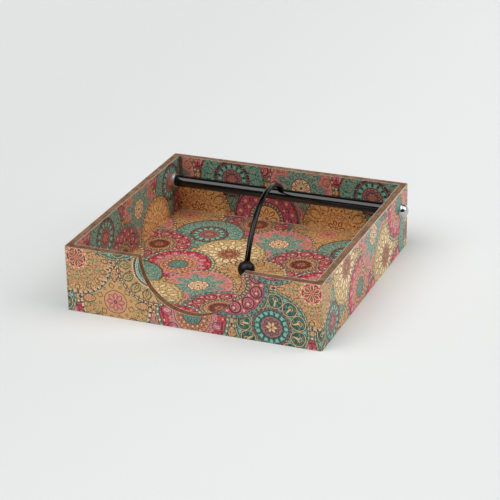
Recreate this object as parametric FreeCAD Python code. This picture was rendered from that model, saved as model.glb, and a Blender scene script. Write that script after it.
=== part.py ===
import FreeCAD, Part

import math
import os

from FreeCAD import Vector

# Napkin tray with a swinging weight arm.
# Units are millimetres. The origin is the centre of the underside.
# X runs to the right along the rod, Y runs to the back, Z runs up.
# The scoop is in the front wall, at negative Y.

# Tray over its paper
tray_width = 195.0
tray_depth = 195.0
board_height = 50.0
paper = 0.3

# Boards
wall_board = 5.0
floor_board = 4.5
corner_round = 1.2

# Half-round scoop in the front wall
scoop_radius = 39.0
scoop_corner_round = 1.8

# Printed paper
front_wrap_return = 20.0
back_wrap_return = 8.0
liner_corner_gap = 3.0

# Wire nails of flat section
brad_width = 1.2
brad_thickness = 1.0
brad_length = 16.0
corner_brads_per_joint = 3
corner_brad_margin = 9.0
floor_brads_per_side = 3
floor_brad_margin = 32.0

# Rod, at its axis
rod_diameter = 9.0
rod_setback = 16.5
rod_axis_height = 34.0
rod_end_gap = 0.3
rod_end_chamfer = 0.4

# Axle screws and the bushes they turn in
axle_diameter = 5.0
axle_clearance = 0.05
axle_depth_in_rod = 9.0
bush_wall = 1.0
bush_flange_diameter = 11.0
bush_flange_thickness = 2.2
head_gap = 0.3
head_collar_diameter = 12.2
head_collar_height = 2.4
head_dome_diameter = 10.4
head_dome_height = 5.2
head_collar_chamfer = 0.5

# Wire arm, a circular arc in an upright plane that is turned a little to the right
wire_diameter = 4.0
arm_bend_radius = 64.0
arm_root_x = -1.8
arm_skew_deg = 5.6
arm_reach = 93.3
arm_tail_length = 4.0
weld_sink = 0.9

# Weight on the arm's free end, which rests on the floor liner
ball_diameter = 12.8
ball_hole_depth = 4.0

# Margin by which cutting tools pass through what they cut
cut_past = 2.0

# Planes and sizes that follow from the values above
board_low = paper
board_top = board_low + board_height
outer_x = tray_width / 2.0
outer_y = tray_depth / 2.0
board_x = outer_x - paper
board_y = outer_y - paper
inside_x = board_x - wall_board
inside_y = board_y - wall_board
lined_x = inside_x - paper
lined_y = inside_y - paper
floor_board_top = board_low + floor_board
floor_top = floor_board_top + paper
rod_radius = rod_diameter / 2.0
rod_y = outer_y - rod_setback
bush_inner_radius = axle_diameter / 2.0 + axle_clearance
bush_outer_radius = bush_inner_radius + bush_wall
bush_flange_face = lined_x - bush_flange_thickness
rod_half_length = bush_flange_face - rod_end_gap
head_face = outer_x + head_gap
wire_radius = wire_diameter / 2.0
ball_radius = ball_diameter / 2.0
ball_to_centre = math.hypot(arm_bend_radius, ball_radius)


def block(x_low, x_high, y_low, y_high, z_low, z_high):
    """A box between two corners."""
    corner = Vector(x_low, y_low, z_low)
    return Part.makeBox(x_high - x_low, y_high - y_low, z_high - z_low, corner)


def upright_edges(solid, x_limit, y_limit):
    """The vertical edges of a solid that stand at or beyond the given distances from the centre."""
    found = []
    for edge in solid.Edges:
        ends = [vertex.Point for vertex in edge.Vertexes]
        is_upright = len(ends) == 2 and ends[0].distanceToPoint(Vector(ends[1].x, ends[1].y, ends[0].z)) < 0.001
        if is_upright and abs(ends[0].x) > x_limit and abs(ends[0].y) > y_limit:
            found.append(edge)
    return found


def rounded_block(half_x, half_y, radius, z_low, z_high):
    """A box centred on the Z axis with rounded vertical corners."""
    solid = block(-half_x, half_x, -half_y, half_y, z_low, z_high)
    return solid.makeFillet(radius, upright_edges(solid, half_x - radius, half_y - radius))


def rod_along_x(radius, x_low, x_high):
    """A cylinder on the rod's axis."""
    return Part.makeCylinder(radius, x_high - x_low, Vector(x_low, rod_y, rod_axis_height), Vector(1, 0, 0))


def mirrored(solid):
    """The same solid on the other side of the tray."""
    return solid.mirror(Vector(0, 0, 0), Vector(1, 0, 0))


def on_both_sides(solid):
    """The solid and its mirror image, as one group."""
    return Part.makeCompound([mirrored(solid), solid])


def scoop_cutter():
    """The half-round scoop with rounded top corners, as a prism through the front wall and its papers."""
    corner_z = board_top - scoop_corner_round
    corner_x = math.sqrt((scoop_radius + scoop_corner_round) ** 2 - scoop_corner_round ** 2)
    touch = scoop_radius / (scoop_radius + scoop_corner_round)
    touch_x = corner_x * touch
    touch_z = board_top - scoop_corner_round * touch
    half_turn = (math.pi / 2.0 + math.atan2(touch_z - corner_z, touch_x - corner_x)) / 2.0
    bulge_x = corner_x + scoop_corner_round * math.cos(half_turn)
    bulge_z = corner_z + scoop_corner_round * math.sin(half_turn)
    y_cut = -outer_y - cut_past
    high_z = board_top + cut_past

    def at(x, z):
        return Vector(x, y_cut, z)

    edges = [
        Part.Arc(at(-corner_x, board_top), at(-bulge_x, bulge_z), at(-touch_x, touch_z)).toShape(),
        Part.Arc(at(-touch_x, touch_z), at(0, board_top - scoop_radius), at(touch_x, touch_z)).toShape(),
        Part.Arc(at(touch_x, touch_z), at(bulge_x, bulge_z), at(corner_x, board_top)).toShape(),
        Part.LineSegment(at(corner_x, board_top), at(corner_x, high_z)).toShape(),
        Part.LineSegment(at(corner_x, high_z), at(-corner_x, high_z)).toShape(),
        Part.LineSegment(at(-corner_x, high_z), at(-corner_x, board_top)).toShape(),
    ]
    face = Part.Face(Part.Wire(edges))
    return face.extrude(Vector(0, outer_y - lined_y + 2.0 * cut_past, 0))


def spread(count, low, high):
    """Evenly spaced places from low to high."""
    if count < 2:
        return [(low + high) / 2.0]
    return [low + (high - low) * step / (count - 1) for step in range(count)]


def brad_from_right(y, z):
    """A nail driven in from the right face of the boards."""
    return block(board_x - brad_length, board_x, y - brad_width / 2.0, y + brad_width / 2.0,
                 z - brad_thickness / 2.0, z + brad_thickness / 2.0)


def make_corner_brads():
    """Nails through the side walls into the ends of the front and back walls."""
    middle_y = board_y - wall_board / 2.0
    heights = spread(corner_brads_per_joint, board_low + corner_brad_margin, board_top - corner_brad_margin)
    right = [brad_from_right(y, z) for y in (-middle_y, middle_y) for z in heights]
    return right + [mirrored(brad) for brad in right]


def make_floor_brads():
    """Nails through all four walls into the edges of the floor panel."""
    height = board_low + floor_board / 2.0
    brads = []
    for y in spread(floor_brads_per_side, -inside_y + floor_brad_margin, inside_y - floor_brad_margin):
        brad = brad_from_right(y, height)
        brads += [brad, mirrored(brad)]
    for x in spread(floor_brads_per_side, -inside_x + floor_brad_margin, inside_x - floor_brad_margin):
        for side in (-1, 1):
            ends = sorted([side * board_y, side * (board_y - brad_length)])
            brads.append(block(x - brad_width / 2.0, x + brad_width / 2.0, ends[0], ends[1],
                               height - brad_thickness / 2.0, height + brad_thickness / 2.0))
    return brads


def make_boards(scoop, brads):
    """The floor panel and the four walls, with their holes."""
    axle_hole = rod_along_x(bush_outer_radius, inside_x - cut_past, board_x + cut_past)
    floor_panel = block(-inside_x, inside_x, -inside_y, inside_y, board_low, floor_board_top)
    front_wall = block(-inside_x, inside_x, -board_y, -inside_y, board_low, board_top).cut(scoop)
    back_wall = block(-inside_x, inside_x, inside_y, board_y, board_low, board_top)
    right_wall = block(inside_x, board_x, -board_y, board_y, board_low, board_top)
    right_wall = right_wall.makeFillet(corner_round, upright_edges(right_wall, inside_x + 1.0, inside_y))
    right_wall = right_wall.cut(axle_hole)
    boards = {
        "floor_panel": floor_panel,
        "front_wall": front_wall,
        "back_wall": back_wall,
        "left_wall": mirrored(right_wall),
        "right_wall": right_wall,
    }
    return {name: board.cut(brads) for name, board in boards.items()}


def make_wraps(scoop):
    """The printed paper round the outside, in four sheets that meet at seams on the two sides."""
    sleeve = rounded_block(outer_x, outer_y, corner_round + paper, board_low, board_top)
    sleeve = sleeve.cut(rounded_block(board_x, board_y, corner_round, board_low - cut_past, board_top + cut_past))
    front_seam = front_wrap_return - outer_y
    back_seam = outer_y - back_wrap_return
    far_x = outer_x + cut_past
    far_y = outer_y + cut_past
    low = board_low - cut_past
    high = board_top + cut_past
    axle_hole = rod_along_x(bush_outer_radius, -far_x, far_x)
    return {
        "front_wrap": sleeve.common(block(-far_x, far_x, -far_y, front_seam, low, high)).cut(scoop),
        "back_wrap": sleeve.common(block(-far_x, far_x, back_seam, far_y, low, high)),
        "left_wrap": sleeve.common(block(-far_x, 0, front_seam, back_seam, low, high)).cut(axle_hole),
        "right_wrap": sleeve.common(block(0, far_x, front_seam, back_seam, low, high)).cut(axle_hole),
    }


def make_liners(scoop):
    """The printed paper on the inside faces, and the plain paper underneath."""
    axle_hole = rod_along_x(bush_outer_radius, inside_x - cut_past, inside_x + cut_past)
    right_liner = block(lined_x, inside_x, -inside_y, inside_y, floor_board_top, board_top).cut(axle_hole)
    front_liner = block(-lined_x, lined_x, -inside_y, -lined_y, floor_board_top, board_top).cut(scoop)
    back_liner = block(liner_corner_gap - lined_x, lined_x, lined_y, inside_y, floor_board_top, board_top)
    floor_liner = block(-lined_x, lined_x, -lined_y, lined_y, floor_board_top, floor_top)
    return {
        "front_liner": front_liner,
        "back_liner": back_liner,
        "left_liner": mirrored(right_liner),
        "right_liner": right_liner,
        "floor_liner": floor_liner,
        "base_paper": block(-board_x, board_x, -board_y, board_y, 0.0, paper),
    }


def turned(outline, centre, axis):
    """A solid turned about an axis from a closed outline of edges."""
    return Part.Face(Part.Wire(outline)).revolve(centre, axis, 360)


def straight_edges(points):
    """Straight edges from each point to the next."""
    return [Part.LineSegment(a, b).toShape() for a, b in zip(points, points[1:])]


def beside_rod_axis(x, radius):
    """A point straight above the rod's axis."""
    return Vector(x, rod_y, rod_axis_height + radius)


def make_bush():
    """The right bush: a sleeve through the wall with a flange against its inside face."""
    corners = [
        (bush_flange_face, bush_inner_radius),
        (outer_x, bush_inner_radius),
        (outer_x, bush_outer_radius),
        (lined_x, bush_outer_radius),
        (lined_x, bush_flange_diameter / 2.0),
        (bush_flange_face, bush_flange_diameter / 2.0),
        (bush_flange_face, bush_inner_radius),
    ]
    outline = straight_edges([beside_rod_axis(x, radius) for x, radius in corners])
    return turned(outline, beside_rod_axis(0, 0), Vector(1, 0, 0))


def make_screw():
    """The right axle screw: a shank into the rod's end, a collar and a domed head."""
    shank_radius = axle_diameter / 2.0
    collar_radius = head_collar_diameter / 2.0
    dome_base = head_face + head_collar_height
    dome_radius = head_dome_diameter / 2.0
    dome_tip = dome_base + head_dome_height
    sphere_radius = (dome_radius ** 2 + head_dome_height ** 2) / (2.0 * head_dome_height)
    sphere_x = dome_tip - sphere_radius
    halfway = math.atan2(dome_radius, dome_base - sphere_x) / 2.0
    dome_middle = beside_rod_axis(
        sphere_x + sphere_radius * math.cos(halfway), sphere_radius * math.sin(halfway))
    corners = [
        (dome_tip, 0.0),
        (rod_half_length - axle_depth_in_rod, 0.0),
        (rod_half_length - axle_depth_in_rod, shank_radius),
        (head_face, shank_radius),
        (head_face, collar_radius),
        (dome_base - head_collar_chamfer, collar_radius),
        (dome_base, collar_radius - head_collar_chamfer),
        (dome_base, dome_radius),
    ]
    points = [beside_rod_axis(x, radius) for x, radius in corners]
    outline = straight_edges(points)
    outline.append(Part.Arc(points[-1], dome_middle, points[0]).toShape())
    return turned(outline, beside_rod_axis(0, 0), Vector(1, 0, 0))


def make_rod():
    """The rod, with a tapped hole in each end for an axle screw."""
    rod = rod_along_x(rod_radius, -rod_half_length, rod_half_length)
    rod = rod.makeChamfer(rod_end_chamfer, [edge for edge in rod.Edges if edge.BoundBox.XLength < 0.001])
    hole = rod_along_x(axle_diameter / 2.0, rod_half_length - axle_depth_in_rod, rod_half_length + cut_past)
    return rod.cut([hole, mirrored(hole)])


def arm_centre():
    """The centre of the arm's arc, as its reach from the rod's axis and its height.

    The arc lies on the rod, sunk by the weld. Where it meets the ball it goes straight on
    towards the ball's centre, and the ball rests on the floor liner.
    """
    rod_to_centre = arm_bend_radius - (rod_radius + wire_radius - weld_sink)
    drop = floor_top + ball_radius - rod_axis_height
    span = math.hypot(arm_reach, drop)
    along = (rod_to_centre ** 2 - ball_to_centre ** 2 + span ** 2) / (2.0 * span)
    across = math.sqrt(rod_to_centre ** 2 - along ** 2)
    reach = (along * arm_reach + across * drop) / span
    height = rod_axis_height + (along * drop - across * arm_reach) / span
    return reach, height


def arm_point(reach, height):
    """A point in the arm's own upright plane, from its reach in front of the rod's axis."""
    turn = math.radians(arm_skew_deg)
    return Vector(arm_root_x + reach * math.sin(turn), rod_y - reach * math.cos(turn), height)


def on_arc(angle):
    """A point on the arm's centre line, from its angle above the arc's centre, seen from the left."""
    reach, height = arm_centre()
    return arm_point(
        reach - arm_bend_radius * math.cos(angle), height + arm_bend_radius * math.sin(angle))


def make_arm():
    """The wire, which is welded to the rod, and the ball on its free end.

    The wire is an arc with a short straight end, which sits in the ball's hole.
    """
    reach, height = arm_centre()
    seat_angle = math.atan2(rod_axis_height - height, reach)
    ball_angle = math.pi - math.asin((floor_top + ball_radius - height) / ball_to_centre)
    start_angle = seat_angle - arm_tail_length / arm_bend_radius
    end_angle = ball_angle - math.atan2(ball_radius, arm_bend_radius)
    turn = math.radians(arm_skew_deg)
    across = Vector(math.cos(turn), math.sin(turn), 0)
    middle = arm_point(reach, height)
    start = on_arc(start_angle)
    end = on_arc(end_angle)
    heading = across.cross(end - middle).normalize()
    section = Part.Face(Part.Wire(Part.makeCircle(wire_radius, start, across.cross(start - middle))))
    bend = section.revolve(middle, across, math.degrees(end_angle - start_angle))
    straight = Part.makeCylinder(wire_radius, ball_hole_depth, end, heading)
    solid_rod = rod_along_x(rod_radius, -rod_half_length, rod_half_length)
    wire = bend.cut(solid_rod).fuse(straight)
    return {"wire_arm": wire, "weight_ball": make_ball(end, heading, across)}


def make_ball(mouth, heading, across):
    """The ball, turned about its hole, whose mouth is where the wire's straight end starts."""
    side = heading.cross(across).normalize()
    mouth_depth = math.sqrt(ball_radius ** 2 - wire_radius ** 2)
    centre = mouth + heading * ball_radius

    def at(along, out):
        return centre + heading * along + side * out

    hole_end = ball_hole_depth - ball_radius
    points = [
        at(ball_radius, 0),
        at(hole_end, 0),
        at(hole_end, wire_radius),
        at(-mouth_depth, wire_radius),
    ]
    outline = straight_edges(points)
    outline.append(Part.Arc(points[-1], at(0, ball_radius), points[0]).toShape())
    return turned(outline, centre, heading)


def build_nodes():
    """Every piece of the tray, by name."""
    scoop = scoop_cutter()
    corner_brads = make_corner_brads()
    floor_brads = make_floor_brads()
    nodes = make_boards(scoop, corner_brads + floor_brads)
    nodes.update(make_wraps(scoop))
    nodes.update(make_liners(scoop))
    nodes["corner_brads"] = Part.makeCompound(corner_brads)
    nodes["floor_brads"] = Part.makeCompound(floor_brads)
    nodes["axle_bushes"] = on_both_sides(make_bush())
    nodes["axle_screws"] = on_both_sides(make_screw())
    nodes["rod"] = make_rod()
    nodes.update(make_arm())
    return nodes


os.makedirs("parts", exist_ok=True)
for node_name, node_shape in build_nodes().items():
    node_shape.exportStep("parts/" + node_name + ".step")
    print(node_name, len(node_shape.Solids), round(node_shape.Volume, 2), node_shape.isValid())
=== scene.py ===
"""Napkin tray with a weighted wire arm: its finishes, its small trim and the studio.

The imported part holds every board, paper, rod, screw and ball at its real size. This script
dresses them, adds the welds, the screws' domes and a paper flap, and sets up the floor, the
lamps and the camera. Lengths are millimetres where a name or a comment says so, and MM turns
them into the scene's metres.
"""

from __future__ import annotations

import logging
import math
from dataclasses import dataclass, field
from enum import Enum
from functools import partial
from typing import Any, Callable, Iterable, Union

import bmesh
import bpy
from mathutils import Matrix, Vector

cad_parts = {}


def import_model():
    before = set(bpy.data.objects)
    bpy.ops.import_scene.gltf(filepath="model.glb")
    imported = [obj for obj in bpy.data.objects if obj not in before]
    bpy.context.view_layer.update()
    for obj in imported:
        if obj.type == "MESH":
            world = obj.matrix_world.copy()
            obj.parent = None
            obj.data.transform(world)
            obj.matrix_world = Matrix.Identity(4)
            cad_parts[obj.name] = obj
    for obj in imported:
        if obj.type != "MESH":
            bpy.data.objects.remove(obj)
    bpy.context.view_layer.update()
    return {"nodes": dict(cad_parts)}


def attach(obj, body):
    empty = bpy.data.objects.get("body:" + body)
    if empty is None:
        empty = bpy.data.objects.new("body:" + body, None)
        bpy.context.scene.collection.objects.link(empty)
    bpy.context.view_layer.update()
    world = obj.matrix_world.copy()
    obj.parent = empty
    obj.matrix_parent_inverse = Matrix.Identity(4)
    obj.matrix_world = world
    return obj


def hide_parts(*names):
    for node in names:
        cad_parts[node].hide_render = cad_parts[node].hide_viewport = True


MM = 0.001
PER_MM = 1000.0
FULL_TURN = 2.0 * math.pi
RIM = 28.0  # A medallion's radius, in millimetres of the print.
SAME = 0.4  # Whole numbers that differ by less than this are the same.
FACING = 0.5  # A surface faces a way when its normal goes further that way than this.
NOISE_SPAN = (0.3, 0.7)  # Nearly all of a noise lies in this span.

# A Mix node repeats its sockets' names for each kind of value, so they go by their numbers.
SHARE, FLOAT_A, FLOAT_B, VECTOR_A, VECTOR_B, COLOUR_A, COLOUR_B = 0, 2, 3, 4, 5, 6, 7

Colour = tuple[float, float, float, float]
Point = tuple[float, float, float]
Ring = list[Point]
Tree = bpy.types.NodeTree
Node = bpy.types.Node
Socket = bpy.types.NodeSocket
Material = bpy.types.Material
Piece = bpy.types.Object
Source = Union[Socket, Node, float, tuple]
Adder = Callable[..., Node]


def linear(hex_colour: str) -> Colour:
    """Turns an sRGB colour into the linear values that a shader takes.

    Args:
        hex_colour: The colour as #RRGGBB.

    Returns:
        Linear red, green and blue, with an alpha of 1.
    """
    shares = [int(hex_colour[place:place + 2], 16) / 255.0 for place in (1, 3, 5)]
    lights = [share / 12.92 if share <= 0.04045 else ((share + 0.055) / 1.055) ** 2.4
              for share in shares]
    return (lights[0], lights[1], lights[2], 1.0)


def add_node(tree: Tree, kind: str, inputs: Union[Iterable[Source], dict[Any, Source]] = (),
             **settings: Any) -> Node:
    """Adds one node with its settings, values and links.

    Args:
        tree: The node tree that gets the node.
        kind: The node's class name, without the ShaderNode that most of them start with.
        inputs: Values, sockets or nodes, in socket order or by the socket's name or number.
            A node stands for its first output in use.
        **settings: Properties of the node.

    Returns:
        The new node.
    """
    node = tree.nodes.new(kind if kind.startswith("NodeGroup") else "ShaderNode" + kind)
    for name, value in settings.items():
        setattr(node, name, value)
    pairs = inputs.items() if isinstance(inputs, dict) else enumerate(inputs)
    for key, source in pairs:
        if isinstance(source, Node):
            source = next(socket for socket in source.outputs if socket.enabled)
        if isinstance(source, Socket):
            tree.links.new(source, node.inputs[key])
        else:
            node.inputs[key].default_value = source
    return node


def new_material(name: str) -> tuple[Material, Adder]:
    """Makes a material with an empty node tree.

    Args:
        name: The material's name.

    Returns:
        The material, and add_node for its tree.
    """
    material = bpy.data.materials.new(name)
    material.use_nodes = True
    material.node_tree.nodes.clear()
    return material, partial(add_node, material.node_tree)


def new_group(name: str, inputs: dict[str, str], outputs: dict[str, str],
              ) -> tuple[Tree, Adder]:
    """Makes an empty node group.

    Args:
        name: The group's name.
        inputs: The type of each input socket, by its name.
        outputs: The type of each output socket, by its name.

    Returns:
        The group, and add_node for it.
    """
    group = bpy.data.node_groups.new(name, "ShaderNodeTree")
    for side, sockets in (("INPUT", inputs), ("OUTPUT", outputs)):
        for socket_name, kind in sockets.items():
            group.interface.new_socket(socket_name, in_out=side, socket_type="NodeSocket" + kind)
    return group, partial(add_node, group)


def cut_steps(ramp: bpy.types.ColorRamp, steps: Iterable[tuple[float, Colour]]) -> None:
    """Cuts a colour ramp into flat steps.

    Args:
        ramp: The ramp, as a new node has it.
        steps: The share at which each step starts, the first at 0, and its colour.
    """
    ramp.interpolation = "CONSTANT"
    stops = ramp.elements
    stops.remove(stops[1])
    for number, (start, colour) in enumerate(steps):
        stop = stops.new(start) if number else stops[0]
        stop.color = colour


def distance(add: Adder, across: Source, up: Source) -> Node:
    """Works out how far a place lies from a centre.

    Args:
        add: add_node for the tree in use.
        across: The offset from the centre along the rows.
        up: The offset at right angles to it.

    Returns:
        A node that gives the distance.
    """
    square = add("Math", (across, across), operation="MULTIPLY")
    square = add("Math", (up, up, square), operation="MULTIPLY_ADD")
    return add("Math", (square,), operation="SQRT")


def direction(azimuth: float, elevation: float) -> Vector:
    """Gives the unit vector from the tray towards a lamp or the camera.

    Args:
        azimuth: Degrees from the tray's front, towards its right.
        elevation: Degrees above the floor.

    Returns:
        The vector.
    """
    azimuth, elevation = math.radians(azimuth), math.radians(elevation)
    return Vector((math.sin(azimuth) * math.cos(elevation),
                   -math.cos(azimuth) * math.cos(elevation), math.sin(elevation)))


def new_object(name: str, data: bpy.types.ID) -> Piece:
    """Puts a mesh, a lamp or a camera in the scene.

    Args:
        name: The object's name.
        data: What it holds.

    Returns:
        The object.
    """
    made = bpy.data.objects.new(name, data)
    bpy.context.scene.collection.objects.link(made)
    logging.info("made %s", name)
    return made


def make_piece(name: str, skins: list[list[Ring]], material: Material,
               smooth: bool = True) -> Piece:
    """Makes a piece of closed skins with flat ends, each joined from rings of points.

    Args:
        name: The piece's name.
        skins: The rings of each skin in order, in millimetres. The rings of a skin have the
            same number of points.
        material: The piece's finish.
        smooth: Whether the light runs smoothly over its edges.

    Returns:
        The piece, with every face turned outwards.
    """
    points: list[Point] = []
    faces: list[tuple[int, ...]] = []
    for rings in skins:
        first, sides = len(points), len(rings[0])
        points += [(x * MM, y * MM, z * MM) for ring in rings for x, y, z in ring]
        last = len(points) - sides
        for near in range(first, last, sides):
            far = near + sides
            for side in range(sides):
                after = (side + 1) % sides
                faces.append((near + side, near + after, far + after, far + side))
        faces += [tuple(range(first, first + sides)), tuple(range(last, last + sides))]
    mesh = bpy.data.meshes.new(name)
    mesh.from_pydata(points, [], faces)
    shape = bmesh.new()
    shape.from_mesh(mesh)
    bmesh.ops.recalc_face_normals(shape, faces=shape.faces)
    shape.to_mesh(mesh)
    shape.free()
    mesh.polygons.foreach_set("use_smooth", [smooth] * len(faces))
    mesh.materials.append(material)
    return new_object(name, mesh)


def dress_node(node: Piece, material: Material) -> None:
    """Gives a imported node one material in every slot.

    Args:
        node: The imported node.
        material: Its finish.
    """
    slots = node.data.materials
    if not slots:
        slots.append(material)
    for number in range(len(slots)):
        slots[number] = material
    logging.info("dressed %s in %s", node.name, material.name)


class Ink(Enum):
    """The printer's inks, as sRGB."""

    OCHRE = "#D6A973"
    HONEY = "#FFCE8A"
    CREAM = "#F2DDB0"
    SAND = "#DEC08C"
    GILT = "#ECC68C"
    SALMON = "#D39474"
    CLAY = "#B9785E"
    MAHOGANY = "#7F4336"
    SIENNA = "#7A5034"
    BROWN = "#46291C"
    OLIVE = "#62522F"
    LEAF = "#7FA470"
    SEA = "#6DB2A4"
    TEAL = "#4FA295"
    DEEP_TEAL = "#1D6A64"
    DARK_TEAL = "#1F3F3A"
    AQUA = "#84C6BA"
    NAVY = "#38385E"
    RASPBERRY = "#D33A52"
    ROSE = "#C55A7A"
    PINK = "#DF959C"
    MAUVE = "#98606C"
    PLUM = "#5A2440"
    WINE = "#5E1C2E"


class Motif(Enum):
    """The shapes that an ornament repeats round a medallion."""

    RING = "a plain circle"
    BEADS = "round dots or hoops"
    PETALS = "pointed ovals"
    TICKS = "short radial strokes"
    STAR = "a zigzag edge"
    DIAMONDS = "squares on their corners"


@dataclass(frozen=True)
class Ornament:
    """One shape repeated round a medallion's centre.

    The radius, the size along it, the half width and the line are millimetres of the print. A
    shape without a line is filled. The phase is a share of the step from one shape to the next.
    """

    motif: Motif
    ink: Ink
    radius: float
    size: float = 0.0
    width: float = 0.0
    count: int = 1
    phase: float = 0.0
    line: float = 0.0

    def mask(self, add: Adder, reach: Node, turn: Node, scrolls: Node) -> Node:
        """Draws the ornament as a mask.

        Args:
            add: add_node for the print's tree.
            reach: The distance from the medallion's centre.
            turn: The direction from the centre, in turns.
            scrolls: The fine scrolls, which curl a star's edge.

        Returns:
            A node that gives 1 on the ornament.
        """
        half_line = self.line / 2.0
        if self.motif is Motif.RING:
            return add("Math", (reach, self.radius, half_line), operation="COMPARE")
        pitch = FULL_TURN * self.radius / self.count
        # The half step puts the middle of the first shape on the line where a turn starts.
        spokes = add("Math", (turn, float(self.count), self.phase + 0.5),
                     operation="MULTIPLY_ADD")
        cell = add("Math", (spokes,), operation="FRACT")
        across = add("Math", (cell, pitch, -pitch / 2.0), operation="MULTIPLY_ADD")
        along = add("Math", (reach, self.radius), operation="SUBTRACT")
        if self.motif is Motif.TICKS:
            beside = add("Math", (across, 0.0, self.width), operation="COMPARE")
            above = add("Math", (along, 0.0, self.size), operation="COMPARE")
            return add("Math", (beside, above), operation="MULTIPLY")
        beside = add("Math", (across,), operation="ABSOLUTE")
        limit = self.size
        if self.motif is Motif.BEADS:
            level = distance(add, across, along)
        elif self.motif is Motif.STAR:
            curled = add("Math", (scrolls, self.width, reach), operation="MULTIPLY_ADD")
            # From a tip to a valley, half a pitch away, the edge falls by twice the size.
            level = add("Math", (beside, 4.0 * self.size / pitch, curled),
                        operation="MULTIPLY_ADD")
            limit = self.radius + self.size
        elif self.motif is Motif.DIAMONDS:
            above = add("Math", (along,), operation="ABSOLUTE")
            level = add("Math", (beside, above), operation="ADD")
        else:
            above = add("Math", (along, along), operation="MULTIPLY")
            level = add("Math", (above, self.width / self.size ** 2, beside),
                        operation="MULTIPLY_ADD")
            limit = self.width
        if self.line:
            return add("Math", (level, limit, half_line), operation="COMPARE")
        return add("Math", (level, limit), operation="LESS_THAN")


@dataclass(frozen=True)
class Medallion:
    """A round figure of the print.

    Bands of flat ink, each up to its radius, lie from the centre outwards. Over them come the
    grounds, then dark and bright scrolls at the two strengths of the thread, then the ornaments.
    """

    bands: tuple[tuple[float, Ink], ...]
    dark: Ink
    bright: Ink
    thread: tuple[float, float]
    ornaments: tuple[Ornament, ...]
    grounds: tuple[Ornament, ...] = ()

    def draw(self, add: Adder, reach: Node, turn: Node, scrolls: tuple[Node, ...]) -> Node:
        """Draws the medallion.

        Args:
            add: add_node for the print's tree.
            reach: The distance from the medallion's centre.
            turn: The direction from the centre, in turns.
            scrolls: The fine scrolls, and the masks of their dark and bright lines.

        Returns:
            A node that gives the medallion's colour.
        """
        share = add("Math", (reach, 1.0 / RIM), operation="MULTIPLY")
        colour = add("ValToRGB", (share,))
        starts = (0.0, *(high / RIM for high, _ in self.bands))
        cut_steps(colour.color_ramp, [(start, linear(ink.value))
                                      for start, (_, ink) in zip(starts, self.bands)])
        grounds, ornaments = ([(ornament.mask(add, reach, turn, scrolls[0]), ornament.ink)
                               for ornament in layer]
                              for layer in (self.grounds, self.ornaments))
        threads = [(add("Math", (line, strength), operation="MULTIPLY"), ink)
                   for line, strength, ink in zip(scrolls[1:], self.thread,
                                                  (self.dark, self.bright))]
        for mask, ink in (*grounds, *threads, *ornaments):
            colour = add("Mix", {SHARE: mask, COLOUR_A: colour, COLOUR_B: linear(ink.value)},
                         data_type="RGBA")
        return colour


class Figure(Enum):
    """The medallions of the print, by the letter that a layout uses."""

    TEAL_FAN = "T"
    TEAL_STAR = "S"
    ROSE_PAISLEY = "M"
    CREAM_DAISY = "C"
    RED_WHEEL = "R"
    PALE_FLOWER = "F"
    RED_HEART = "K"
    PALE_FAN = "P"
    HONEY_FLOWER = "H"
    HONEY_HEART = "G"
    TEAL_SCALLOPS = "W"

    @property
    def number(self) -> float:
        """The medallion's place in this list."""
        return float(list(Figure).index(self))


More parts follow.
